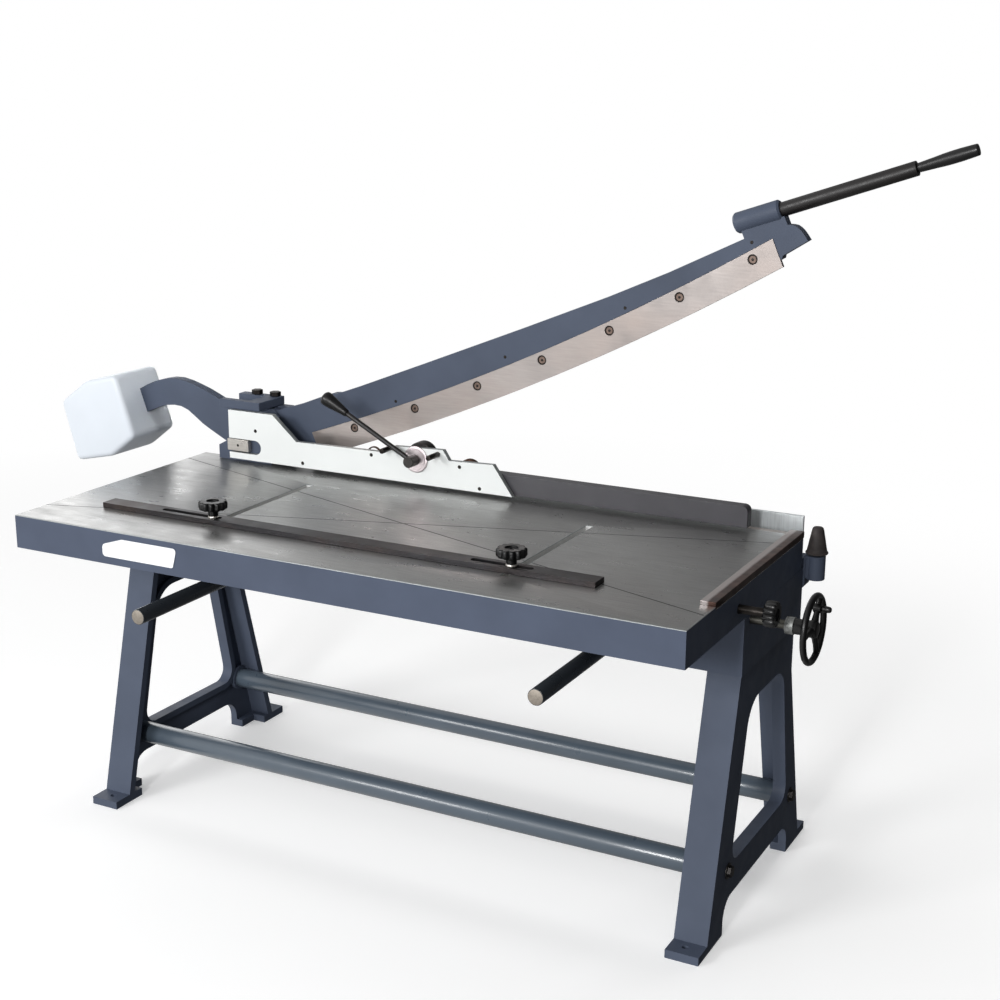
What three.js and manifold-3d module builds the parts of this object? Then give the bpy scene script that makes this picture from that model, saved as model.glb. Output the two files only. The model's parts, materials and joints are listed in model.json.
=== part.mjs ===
// Bench-height hand guillotine shear for sheet metal: a cast table on two legs, a counterweighted
// blade arm, a lever-operated hold-down beam, a sliding stop bar and a handwheel-driven back gauge.
// Millimetres. X runs along the table, Y from the operator to the back, Z up from the floor.
import * as THREE from "three";
import { mergeVertices } from "three/addons/utils/BufferGeometryUtils.js";
import Module from "manifold-3d";

const wasm = await Module();
wasm.setup();

// ---------- driving dimensions ----------
const GAP = 0.3; // between pieces that touch
const TABLE_LENGTH = 1200;
const TABLE_DEPTH = 514;
const TABLE_TOP = 580;
const TABLE_BOTTOM = 523;
const PLATE_UNDERSIDE = 554;
const APRON = 18;
const RIB_X = [400, 800];
const SLOT_X = [319, 872]; // T-slots, shared by the stop bar's T-bolts
const SLOT_Y = [96, 400];
const STOP_Y = 122;

const LEG_INSET = 10; // leg web behind the table's end
const LEG_WIDTH = 55;
const LEG_FLANGE = 14;
const PAD_HEIGHT = 14;
const FOOT_FRONT = 129;
const FOOT_BACK = 649;
const LEG_FRONT = 166; // leg faces where they meet the foot pads
const LEG_BACK = 612;
const LEG_TAPER = 0.25;
const HEAD_FRONT = 240;
const HEAD_BACK = 524;
const HEAD_BOTTOM = 430;
const HEAD_TOP = TABLE_BOTTOM - GAP;
const WINDOW = [[258, 110, 25], [318, 362, 55], [481, 362, 45], [532, 108, 25]];
const TIE_POINTS = [[246, 105], [553, 105]]; // Y and Z of the two tie rods
const TIE_RADIUS = 19;

const PIVOT = [150, 640]; // X and Z of the arm's pivot
const PIVOT_RADIUS = 15;
const HUB_RADIUS = 37;
const RAISE = THREE.MathUtils.degToRad(23.9); // arm lift above its lowest position
const BLADE_FRONT = 526;
const BLADE_BACK = 534;
const ARM_FRONT = 527;
const ARM_BACK = 547;
const ARM_MIDDLE = (ARM_FRONT + ARM_BACK) / 2;
const BOW_CENTRE = [484.7, 4759.8]; // centre of the blade's bow, measured from the pivot
const BLADE_TOP_RADIUS = 4811;
const BLADE_EDGE_RADIUS = 4858;
const BOLT_LINE_RADIUS = 4825;
const ARM_EDGE_RADIUS = 4846;
const BLADE_ENDS = [85, 1053];
const BOLT_RADIUS = 8.2;
const BOLT_START = 179;
const BOLT_PITCH = 138.6;
const BOLT_COUNT = 7;

const HANDLE_START = [1008, 25.6]; // left end of the handle socket, from the pivot
const HANDLE_TILT = -5;
const SOCKET_LENGTH = 72;
const BAR_RADIUS = 11.6;
const BAR_END = 291;
const GRIP_END = 384;
const WEIGHT_Y = [467, 595];

const PLATE_FRONT = 480; // white carrier plate
const PLATE_BACK = 490;
const BEAM_FRONT = 492;
const BEAM_BACK = 512;
const LEVER_AXIS = [495, 631];
const ROD_Y = 464.5;
const LEVER_ANGLE = THREE.MathUtils.degToRad(151.8);
const CAM_RADIUS = 26;
const CAM_OFFSET = 2.89;
const CAM_ANGLE = Math.PI / 3;
const SPRINGS = [["left", 397, 625, 15, 3], ["right", 594, 617, 22, 5]];

const ROD_X = [249, 973]; // guide rods of the back gauge
const ROD_Z = 439;
const ROD_RADIUS = 13;
const GAUGE_FRONT = 564;
const GAUGE_BACK = 570;
const RACK_X = [281, 941];
const RACK_START = 102;
const SHAFT_Y = 270;
const SHAFT_Z = 513.5;
const SHAFT_RADIUS = 7;
const PINION_RADIUS = 20; // pitch radius
const PINION_TEETH = 20;
const TOOTH_PITCH = (2 * Math.PI * PINION_RADIUS) / PINION_TEETH;
const WHEEL_X = 1296;
const CRANK = [286.4, 541.2]; // Y and Z of the handwheel's revolving grip

const KNOB_LOBES = 12;
const BUMPER = [1217, 538];
const FOOTPRINT_CENTRE = [554.6, 323.9]; // middle of the outer box, where the origin lies

// ---------- finishes ----------
const finish = (color, roughness, metalness) => ({ color, roughness, metalness });
const PAINT = finish(0x5c6472, 0.45, 0.1);
const GROUND = finish(0x9a9a98, 0.35, 0.9);
const BRIGHT = finish(0xc9c4be, 0.25, 1.0);
const BLACKENED = finish(0x2a2826, 0.5, 0.6);
const WHITE = finish(0xf2f6f5, 0.4, 0.0);
const PALE = finish(0xdfe8ea, 0.4, 0.0);
const BEAM_GREY = finish(0x504e55, 0.5, 0.3);
const PLASTIC = finish(0x0c0c0d, 0.25, 0.0);
const RUBBER = finish(0x2b2220, 0.8, 0.0);
const SPRING = finish(0x6d4a38, 0.4, 0.8);

const root = new THREE.Group();
root.position.set(-FOOTPRINT_CENTRE[0], -FOOTPRINT_CENTRE[1], 0);
const arm = new THREE.Group();
arm.position.set(PIVOT[0], 0, PIVOT[1]);
arm.rotation.y = -RAISE;
const lever = new THREE.Group();
lever.position.set(LEVER_AXIS[0], ROD_Y, LEVER_AXIS[1]);
lever.rotation.y = -LEVER_ANGLE;
root.add(arm, lever);

// ---------- geometry helpers ----------
function solid(geometry) {
  geometry.deleteAttribute("normal");
  geometry.deleteAttribute("uv");
  const merged = mergeVertices(geometry, 1e-4);
  const index = merged.index.array;
  const triangles = [];
  for (let i = 0; i < index.length; i += 3) {
    const [a, b, c] = [index[i], index[i + 1], index[i + 2]];
    if (a !== b && b !== c && c !== a) triangles.push(a, b, c);
  }
  return new wasm.Manifold(new wasm.Mesh({
    numProp: 3,
    vertProperties: new Float32Array(merged.attributes.position.array),
    triVerts: new Uint32Array(triangles),
  }));
}

function add(name, shape, look, parent = root) {
  const mesh = shape.getMesh();
  const geometry = new THREE.BufferGeometry();
  geometry.setAttribute("position", new THREE.BufferAttribute(mesh.vertProperties, 3));
  geometry.setIndex(new THREE.BufferAttribute(mesh.triVerts, 1));
  geometry.computeVertexNormals();
  const part = new THREE.Mesh(geometry, new THREE.MeshStandardMaterial(look));
  part.name = name;
  parent.add(part);
}

const union = (...shapes) => shapes.reduce((whole, shape) => whole.add(shape));
const cut = (shape, ...tools) => tools.reduce((whole, tool) => whole.subtract(tool), shape);
const mirrored = (shape) => shape.mirror([1, 0, 0]).translate([TABLE_LENGTH, 0, 0]);

function box(x0, x1, y0, y1, z0, z1) {
  const geometry = new THREE.BoxGeometry(x1 - x0, y1 - y0, z1 - z0);
  return solid(geometry.translate((x0 + x1) / 2, (y0 + y1) / 2, (z0 + z1) / 2));
}

// Round bars along each axis, from lo to hi.
function roundX(x0, x1, y, z, radius, sides = 20) {
  const geometry = new THREE.CylinderGeometry(radius, radius, x1 - x0, sides);
  return solid(geometry.rotateZ(-Math.PI / 2).translate((x0 + x1) / 2, y, z));
}

function roundY(y0, y1, x, z, radius, sides = 20) {
  const geometry = new THREE.CylinderGeometry(radius, radius, y1 - y0, sides);
  return solid(geometry.translate(x, (y0 + y1) / 2, z));
}

function roundZ(z0, z1, x, y, radius, sides = 20) {
  const geometry = new THREE.CylinderGeometry(radius, radius, z1 - z0, sides);
  return solid(geometry.rotateX(Math.PI / 2).translate(x, y, (z0 + z1) / 2));
}

function turned(profile, sides) {
  return new THREE.LatheGeometry(profile.map(([at, r]) => new THREE.Vector2(r, at)), sides);
}

function turnedX(profile, y, z, sides = 20) {
  return solid(turned(profile, sides).rotateZ(-Math.PI / 2).translate(0, y, z));
}

function turnedZ(profile, x, y, sides = 24) {
  return solid(turned(profile, sides).rotateX(Math.PI / 2).translate(x, y, 0));
}

const outline = (points) => new THREE.Shape(points.map(([a, b]) => new THREE.Vector2(a, b)));

// An X-Z outline carried along Y, a Y-Z outline carried along X, an X-Y outline carried along Z.
function plateY(shape, y0, y1, curveSegments = 4) {
  const options = { depth: y1 - y0, bevelEnabled: false, curveSegments };
  return solid(new THREE.ExtrudeGeometry(shape, options).rotateX(Math.PI / 2).translate(0, y1, 0));
}

function plateX(shape, x0, x1, curveSegments = 4) {
  const options = { depth: x1 - x0, bevelEnabled: false, curveSegments };
  const turn = new THREE.Matrix4().makeBasis(
    new THREE.Vector3(0, 1, 0), new THREE.Vector3(0, 0, 1), new THREE.Vector3(1, 0, 0));
  return solid(new THREE.ExtrudeGeometry(shape, options).applyMatrix4(turn).translate(x0, 0, 0));
}

function plateZ(shape, z0, z1, curveSegments = 4) {
  const options = { depth: z1 - z0, bevelEnabled: false, curveSegments };
  return solid(new THREE.ExtrudeGeometry(shape, options).translate(0, 0, z0));
}

// A polygon with arcs at its corners; each corner is [a, b, radius].
function rounded(corners) {
  const path = new THREE.Shape();
  const count = corners.length;
  corners.forEach(([x, y, radius = 0], i) => {
    if (radius === 0) {
      if (i === 0) path.moveTo(x, y);
      else path.lineTo(x, y);
      return;
    }
    const here = new THREE.Vector2(x, y);
    const before = new THREE.Vector2(...corners[(i + count - 1) % count]).sub(here).normalize();
    const after = new THREE.Vector2(...corners[(i + 1) % count]).sub(here).normalize();
    const half = before.angleTo(after) / 2;
    const reach = radius / Math.tan(half);
    const start = before.clone().multiplyScalar(reach).add(here);
    const end = after.clone().multiplyScalar(reach).add(here);
    const centre = before.clone().add(after).setLength(radius / Math.sin(half)).add(here);
    if (i === 0) path.moveTo(start.x, start.y);
    path.absarc(
      centre.x, centre.y, radius, start.clone().sub(centre).angle(),
      end.clone().sub(centre).angle(), before.cross(after) > 0);
  });
  return path;
}

// The same polygon with every side moved outwards; corners run clockwise.
function grown(corners, by) {
  const count = corners.length;
  const side = (i) => {
    const from = new THREE.Vector2(...corners[(i + count) % count]);
    const to = new THREE.Vector2(...corners[(i + 1) % count]);
    return to.sub(from).normalize();
  };
  return corners.map(([x, y, radius], i) => {
    const before = side(i + count - 1);
    const after = side(i);
    const spread = by / (1 + before.dot(after));
    const out = [-(before.y + after.y) * spread, (before.x + after.x) * spread];
    return [x + out[0], y + out[1], radius + by];
  });
}

// A lobed knob outline round the origin.
function lobes(count, outer, inner) {
  const points = [];
  const steps = count * 5;
  for (let i = 0; i < steps; i += 1) {
    const angle = (i / steps) * 2 * Math.PI;
    const wave = Math.sqrt(0.5 + 0.5 * Math.cos(count * angle));
    const radius = inner + (outer - inner) * wave;
    points.push([radius * Math.cos(angle), radius * Math.sin(angle)]);
  }
  return outline(points);
}

// ---------- table ----------
function table() {
  const hollow = box(
    APRON, TABLE_LENGTH - APRON, APRON, TABLE_DEPTH - APRON, TABLE_BOTTOM - 1, PLATE_UNDERSIDE);
  const ribs = RIB_X.map((x) => (
    box(x - 6, x + 6, APRON - 1, TABLE_DEPTH - APRON + 1, 530, PLATE_UNDERSIDE + 1)));
  const slots = SLOT_X.flatMap((x) => [
    box(x - 6, x + 6, ...SLOT_Y, 567, TABLE_TOP + 1),
    box(x - 11, x + 11, ...SLOT_Y, 560, 568),
  ]);
  const guideSeat = box(1176, 1201, 112, TABLE_DEPTH + 1, 575, TABLE_TOP + 1);
  const knobHole = roundX(1180, 1201, 212, 547, 7.6);
  const casting = box(0, TABLE_LENGTH, 0, TABLE_DEPTH, TABLE_BOTTOM, TABLE_TOP);
  add("table_bed", cut(union(cut(casting, hollow), ...ribs), ...slots, guideSeat, knobHole), GROUND);
  add("side_guide", box(1176 + GAP, 1200, 112 + GAP, 520, 575 + GAP, 586), BRIGHT);
  add("lower_blade", box(212, 1175.5, TABLE_DEPTH + GAP, 525.5, 540, TABLE_TOP), BRIGHT);
  const label = rounded([[187, 536, 6], [187, 556, 8], [228, 569, 6], [339, 569, 6], [330, 536, 4]]);
  add("name_plate", plateY(label, -1.2, -GAP, 2), WHITE);
}

// ---------- legs ----------
const frontFace = (z) => LEG_FRONT + LEG_TAPER * (z - PAD_HEIGHT);

// Built for the left end with its web outside; the right leg is the mirror image.
function leg() {
  const x0 = LEG_INSET;
  const x1 = LEG_INSET + LEG_WIDTH;
  const top = 507;
  const web = rounded([
    [LEG_FRONT, 0], [LEG_FRONT, PAD_HEIGHT], [frontFace(top), top], [HEAD_BACK, top],
    [HEAD_BACK, 345], [LEG_BACK, PAD_HEIGHT], [LEG_BACK, 0], [546, 0], [546, 56, 34],
    [232, 56, 34], [232, 0],
  ]);
  const front = outline([
    [LEG_FRONT, 0], [LEG_FRONT, PAD_HEIGHT], [frontFace(top), top],
    [frontFace(top) + LEG_FLANGE, top], [LEG_FRONT + LEG_FLANGE, PAD_HEIGHT],
    [LEG_FRONT + LEG_FLANGE, 0],
  ]);
  const back = outline([
    [LEG_BACK, 0], [LEG_BACK - LEG_FLANGE, 0], [LEG_BACK - LEG_FLANGE, PAD_HEIGHT],
    [HEAD_BACK - LEG_FLANGE, 345], [HEAD_BACK - LEG_FLANGE, top], [HEAD_BACK, top],
    [HEAD_BACK, 345], [LEG_BACK, PAD_HEIGHT],
  ]);
  const head = cut(
    box(0, 90, HEAD_FRONT, HEAD_BACK, HEAD_BOTTOM, HEAD_TOP),
    box(14, 91, HEAD_FRONT + 14, HEAD_BACK - 14, HEAD_BOTTOM - 1, 505));
  const body = union(
    plateX(web, x0, x0 + 14), plateX(rounded(grown(WINDOW, 12)), x0, x0 + 22),
    plateX(front, x0, x1), plateX(back, x0, x1), head,
    box(x0, x1, FOOT_FRONT, 200, 0, PAD_HEIGHT), box(x0, x1, 585, FOOT_BACK, 0, PAD_HEIGHT),
    box(x0, x0 + 28, 190, 232, 0, PAD_HEIGHT), box(x0, x0 + 28, 546, 590, 0, PAD_HEIGHT),
    ...TIE_POINTS.map(([y, z]) => roundX(x0 + 1, x0 + 24, y, z, 24)));
  const bolts = [150, 630].map((y) => roundZ(-1, PAD_HEIGHT + 1, x0 + 30, y, 5, 12));
  return cut(body, plateX(rounded(WINDOW), x0 - 1, x0 + 23), ...bolts);
}

function legs() {
  add("leg_frame_left", leg(), PAINT);
  const bearing = box(1112, 1190, 254, 286, 497, 506);
  const bore = roundX(1100, 1210, SHAFT_Y, SHAFT_Z, SHAFT_RADIUS + 0.4);
  add("leg_frame_right", cut(union(mirrored(leg()), bearing), bore), PAINT);
  const reach = LEG_INSET + 24 + GAP;
  TIE_POINTS.forEach(([y, z], i) => {
    const name = ["tie_rod_front", "tie_rod_rear"][i];
    add(name, roundX(reach, TABLE_LENGTH - reach, y, z, TIE_RADIUS, 28), PAINT);
  });
}

// ---------- pivot bracket ----------
function pivotBracket() {
  const [px, pz] = PIVOT;
  const top = 679.6;
  const frontCheek = outline([
    [52, TABLE_TOP + GAP], [52, 606], [82, 622], [82, top], [158, top], [172, 666],
    [172, TABLE_TOP + GAP],
  ]);
  const rearCheek = outline([[45, 580], [45, 584], [74, 606], [74, top], [172, top], [172, 580]]);
  const bracket = union(
    box(40, 185, TABLE_DEPTH + GAP, 571, TABLE_BOTTOM, 582),
    box(62, 185, TABLE_DEPTH + GAP, 571, 581, 586),
    box(40, 185, HEAD_BACK + GAP, 571, 470, TABLE_BOTTOM + 1),
    plateY(frontCheek, PLATE_BACK + GAP, 524), plateY(rearCheek, 549, 571));
  add("pivot_bracket", cut(bracket, roundY(480, 580, px, pz, PIVOT_RADIUS + 0.4, 28)), PAINT);
  const pin = union(
    roundY(PLATE_BACK + 2 * GAP, 571, px, pz, PIVOT_RADIUS, 28), roundY(570, 587, px, pz, 10));
  add("pivot_pin", pin, BRIGHT);
  const nut = union(roundY(571 + GAP, 574.5, px, pz, 22, 24), roundY(574, 585, px, pz, 20.8, 6));
  add("pivot_nut", cut(nut, roundY(570, 590, px, pz, 10.3)), BLACKENED);
  // The cap bridges both cheeks and is slotted from the left so that the arm's tail can rise.
  const cap = outline([
    [58, 488], [150, 488], [150, 571], [58, 571], [58, 549], [118, 549], [118, 504], [58, 504],
  ]);
  add("pivot_cap", plateZ(cap, 680, 696), PAINT);
  [["left", 95], ["right", 137]].forEach(([side, x]) => {
    add(`cap_bolt_${side}`, roundZ(696 + GAP, 705, x, 559.5, 10.9, 6), BLACKENED);
  });
}

// ---------- hold-down ----------
function carrierPlate() {
  const plate = outline([
    [84, 586], [84, 679], [185, 679], [237, 633.5], [432, 636], [449, 650], [550, 654],
    [562, 636], [650, 639], [688, 586],
  ]);
  const slot = union(
    box(83, 143.5, 470, 500, 598, 625), roundY(470, 500, 143.5, 611.5, 13.5, 24));
  const bore = roundY(470, 500, ...LEVER_AXIS, 9.4);
  add("carrier_plate", cut(plateY(plate, PLATE_FRONT, PLATE_BACK), slot, bore), WHITE);
  add("locating_block", box(80, 128, PLATE_FRONT - 0.5, PLATE_BACK, 601, 623.5), BRIGHT);
}

function clampBeam() {
  const [x, z] = LEVER_AXIS;
  const camFloor = z + CAM_OFFSET * Math.sin(CAM_ANGLE) - CAM_RADIUS - GAP;
  const notch = (centre, half, floor) => [
    [centre + half, 622], [centre + half, floor, 3], [centre - half, floor, 3],
    [centre - half, 622],
  ];
  const [left, right] = SPRINGS;
  const beam = rounded([
    [200, 585.5], [200, 622], ...notch(left[1], left[3] + 1, left[2] - left[3] - 1).reverse(),
    ...notch(x, 32, camFloor).reverse(),
    ...notch(right[1], right[3] + 1, right[2] - right[3] - 1).reverse(),
    [1112, 622, 10], [1112, 585.5],
  ]);
  add("clamp_beam", plateY(beam, BEAM_FRONT, BEAM_BACK, 2), BEAM_GREY);
}

function holdDown() {
  const [x, z] = LEVER_AXIS;
  const disc = cut(roundY(476, PLATE_FRONT - GAP, x, z, 24, 28), roundY(470, 485, x, z, 8.4));
  add("lever_bearing_disc", disc, BRIGHT);
  [["left", 444.6, 647], ["right", 540, 645.4]].forEach(([side, pinX, pinZ]) => {
    add(`stop_pin_${side}`, roundY(445, PLATE_FRONT - GAP, pinX, pinZ, 4.8, 16), BLACKENED);
  });
  for (const [side, at, height, outer, wire] of SPRINGS) {
    const back = PLATE_BACK + GAP;
    add(`spring_pin_${side}`, roundY(back, 507, at, height, 5, 16), BLACKENED);
    const coil = cut(
      roundY(495, 495 + wire, at, height, outer, 24), roundY(494, 504, at, height, outer - wire, 24));
    add(`clamp_spring_${side}`, coil, SPRING);
  }
  const cam = [x + CAM_OFFSET * Math.cos(CAM_ANGLE), z + CAM_OFFSET * Math.sin(CAM_ANGLE)];
  const shaft = union(
    roundY(451, 475.7, x, z, 10, 24), roundY(475, BEAM_BACK, x, z, 8),
    roundY(BEAM_FRONT, BEAM_BACK, ...cam, CAM_RADIUS, 36));
  add("lever_shaft", shaft, BLACKENED);
  add("lever_rod", roundX(10 + GAP, 200, 0, 0, 4.5, 16), BRIGHT, lever);
  const grip = turnedX([
    [152, 0], [152, 6], [172, 9], [194, 12.4], [202, 13], [207, 10], [209, 5], [209, 0],
  ], 0, 0);
  add("lever_grip", cut(grip, roundX(150, 200 + GAP, 0, 0, 4.8, 16)), PLASTIC, lever);
}

// ---------- blade arm, drawn in its lowered attitude and measured from the pivot ----------
const bowHeight = (radius, x) => BOW_CENTRE[1] - Math.sqrt(radius ** 2 - (x - BOW_CENTRE[0]) ** 2);

function bow(radius, from, to, steps = 14) {
  const points = [];
  for (let i = 0; i <= steps; i += 1) {
    const x = from + ((to - from) * i) / steps;
    points.push([x, bowHeight(radius, x)]);
  }
  return points;
}

function smooth(points, count) {
  const curve = new THREE.SplineCurve(points.map(([a, b]) => new THREE.Vector2(a, b)));
  return curve.getPoints(count).map((p) => [p.x, p.y]);
}

function hubArc(fromDegrees, toDegrees, steps) {
  const points = [];
  for (let i = 0; i <= steps; i += 1) {
    const angle = THREE.MathUtils.degToRad(fromDegrees + ((toDegrees - fromDegrees) * i) / steps);
    points.push([HUB_RADIUS * Math.cos(angle), HUB_RADIUS * Math.sin(angle)]);
  }
  return points;
}

function armCasting() {
  const [bladeStart, bladeEnd] = BLADE_ENDS;
  const tailBelow = smooth([
    [-300, 123.5], [-278, 123.3], [-225.5, 121], [-182, 102.6], [-151, 57], [-114.4, 12.4],
  ], 14);
  const top = smooth([[84.6, 22.4], [157, 19], [226, 11.5], [755, -6], [1009, -1]], 12);
  const toe = smooth([[1083, -6], [1094, -12], [1101, -24], [1105, -41]], 6);
  const tailAbove = smooth([
    [-20, 34], [-50, 44], [-94, 91.4], [-129, 126.7], [-174.5, 160.4], [-225, 172],
    [-274, 170.6], [-300, 168],
  ], 18);
  const profile = outline([
    ...tailBelow, ...hubArc(245, 290, 5), [35, -40], [72, -75], [82, -76],
    ...bow(ARM_EDGE_RADIUS, bladeStart - GAP, 1056), [1059, -48], ...toe.reverse(),
    [1083, 8], [1009, 24], ...top.reverse(), ...hubArc(50, 112, 5), ...tailAbove,
  ]);
  const seat = outline([
    ...bow(BLADE_TOP_RADIUS - 0.5, bladeStart - GAP, bladeEnd + GAP),
    [bladeEnd + GAP, -160], [bladeStart - GAP, -160],
  ]);
  const socket = alongHandle(turnedX([
    [-8, 0], [-8, 11], [-6.5, 14.5], [-3, 17], [SOCKET_LENGTH - 3, 17], [SOCKET_LENGTH, 14.5],
    [SOCKET_LENGTH, 0],
  ], 0, 0, 24));
  const boltHoles = boltPlaces().map(([x, z]) => roundY(530, 550, x, z, 4.9, 10));
  add("arm_casting", cut(
    union(plateY(profile, ARM_FRONT, ARM_BACK), socket),
    plateY(seat, ARM_FRONT - 1, BLADE_BACK + GAP), roundY(520, 550, 0, 0, PIVOT_RADIUS + 0.4, 28),
    alongHandle(roundX(24, SOCKET_LENGTH + 20, 0, 0, BAR_RADIUS + GAP)), ...boltHoles), PAINT, arm);
}

function boltPlaces() {
  const places = [];
  for (let i = 0; i < BOLT_COUNT; i += 1) {
    const x = BOLT_START + BOLT_PITCH * i;
    places.push([x, bowHeight(BOLT_LINE_RADIUS, x)]);
  }
  return places;
}

function alongHandle(shape) {
  return shape.rotate([0, -HANDLE_TILT, 0]).translate([HANDLE_START[0], ARM_MIDDLE, HANDLE_START[1]]);
}

function upperBlade() {
  const blade = plateY(outline([
    ...bow(BLADE_EDGE_RADIUS, ...BLADE_ENDS, 24), ...bow(BLADE_TOP_RADIUS, ...BLADE_ENDS, 24).reverse(),
  ]), BLADE_FRONT, BLADE_BACK);
  const holes = [];
  boltPlaces().forEach(([x, z], i) => {
    holes.push(roundY(BLADE_FRONT - 1, BLADE_BACK + 1, x, z, BOLT_RADIUS + GAP, 16));
    const head = roundY(BLADE_FRONT + 0.4, BLADE_BACK, x, z, BOLT_RADIUS, 16);
    add(`blade_bolt_${i + 1}`, union(head, roundY(533, 546.5, x, z, 4.6, 10)), BLACKENED, arm);
  });
  add("upper_blade", cut(blade, ...holes), BRIGHT, arm);
}

function handle() {
  const bar = union(roundX(24 + GAP, BAR_END, 0, 0, BAR_RADIUS), roundX(BAR_END - 1, BAR_END + 60, 0, 0, 4, 12));
  add("handle_bar", alongHandle(bar), PLASTIC, arm);
  const grip = turnedX([
    [BAR_END + GAP, 0], [BAR_END + GAP, 7.2], [BAR_END + 24, 8.4], [BAR_END + 50, 9.9],
    [BAR_END + 76, 9.6], [GRIP_END - 1, 8.9], [GRIP_END, 8], [GRIP_END, 0],
  ], 0, 0);
  const seat = roundX(BAR_END - 1, BAR_END + 60 + GAP, 0, 0, 4.3, 12);
  add("handle_grip", alongHandle(cut(grip, seat)), PLASTIC, arm);
}

// The balance weight is a cushion-sided block threaded over the tail's end.
function counterweight() {
  const sides = rounded([
    [-440, 84, 12], [-423, 205, 12], [-345, 222, 60], [-267, 208, 8], [-277, 82, 8], [-349, 65, 40],
  ]);
  const depth = WEIGHT_Y[1] - WEIGHT_Y[0] - 24;
  const geometry = new THREE.ExtrudeGeometry(sides, {
    depth, bevelThickness: 12, bevelSize: 7, bevelOffset: -7, bevelSegments: 2, curveSegments: 2,
  });
  const block = solid(geometry.rotateX(Math.PI / 2).translate(0, WEIGHT_Y[1] - 12, 0));
  const pocket = box(-300 - GAP, -260, ARM_FRONT - GAP, ARM_BACK + GAP, 120, 174);
  add("counterweight", cut(block, pocket), PALE, arm);
}

// ---------- rubber stop under the arm's toe ----------
function bumper() {
  const [x, y] = BUMPER;
  const side = rounded([[1150, 539.5], [1203, 539.5], [1203, 492, 8], [1188, 476], [1150, 476]]);
  const bracket = union(
    plateY(side, HEAD_BACK + GAP, 553), box(1200, x, 526, 550, 505, 543),
    roundZ(503, 543, x, y, 15, 24));
  const bore = roundZ(530, 544, x, y, 5.3, 12);
  add("bumper_bracket", cut(bracket, box(1192, 1240, 520, 560, 543, 550), bore), PAINT);
  add("rubber_bumper", turnedZ([
    [532, 0], [532, 5], [543 + GAP, 5], [543 + GAP, 17.4], [546, 18.6], [549, 17.6], [566, 14],
    [586, 9.8], [590, 8.6], [591.3, 6.4], [591.3, 0],
  ], x, y), RUBBER);
}

// ---------- back gauge ----------
function rackBar(x) {
  const pitchLine = SHAFT_Z - PINION_RADIUS;
  const bar = box(x - 6, x + 6, RACK_START, GAUGE_FRONT - GAP, pitchLine - 9.5, pitchLine + 1.2);
  const gaps = [];
  for (let i = -26; i <= 3; i += 1) {
    const y = SHAFT_Y + i * TOOTH_PITCH;
    gaps.push(plateX(outline([
      [y - 1.6, pitchLine - 2.9], [y - 2.5, pitchLine + 1.4], [y + 2.5, pitchLine + 1.4],
      [y + 1.6, pitchLine - 2.9],
    ]), x - 7, x + 7));
  }
  return cut(bar, ...gaps);
}

// Teeth are narrow so that the pinion runs free in the rack; one tooth points straight down.
function pinion(x) {
  const points = [];
  const step = (2 * Math.PI) / PINION_TEETH;
  for (let i = 0; i < PINION_TEETH; i += 1) {
    for (const [share, height] of [[-0.3, -2.6], [-0.12, 1.2], [0.12, 1.2], [0.3, -2.6]]) {
      const angle = (i + share) * step - Math.PI / 2;
      const radius = PINION_RADIUS + height;
      points.push([radius * Math.cos(angle), radius * Math.sin(angle)]);
    }
  }
  const gear = plateX(outline(points), x - 6, x + 6).translate([0, SHAFT_Y, SHAFT_Z]);
  return cut(gear, roundX(x - 7, x + 7, SHAFT_Y, SHAFT_Z, SHAFT_RADIUS + GAP));
}

function gaugeGuide(x) {
  const body = union(
    box(x - 24, x + 24, 250, 490, 541.7, PLATE_UNDERSIDE - GAP),
    box(x - 24, x + 24, 300, 325, 415, 542), box(x - 24, x + 24, 460, 485, 415, 542));
  return cut(body, roundY(290, 495, x, ROD_Z, ROD_RADIUS + 0.4, 24));
}

function backGauge() {
  add("gauge_plate", box(215, 1184, GAUGE_FRONT, GAUGE_BACK, 420, 598), BRIGHT);
  const bearing = cut(
    box(225, 241, 256, 284, 498, 542), roundX(220, 250, SHAFT_Y, SHAFT_Z, SHAFT_RADIUS + 0.4));
  ["left", "right"].forEach((side, i) => {
    const guide = gaugeGuide(ROD_X[i]);
    add(`gauge_guide_${side}`, i === 0 ? union(guide, bearing) : guide, PAINT);
    add(`gauge_rod_${side}`, roundY(3, GAUGE_FRONT - GAP, ROD_X[i], ROD_Z, ROD_RADIUS, 24), BRIGHT);
    add(`rack_bar_${side}`, rackBar(RACK_X[i]), BRIGHT);
    add(`pinion_${side}`, pinion(RACK_X[i]), BRIGHT);
  });
}

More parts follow.
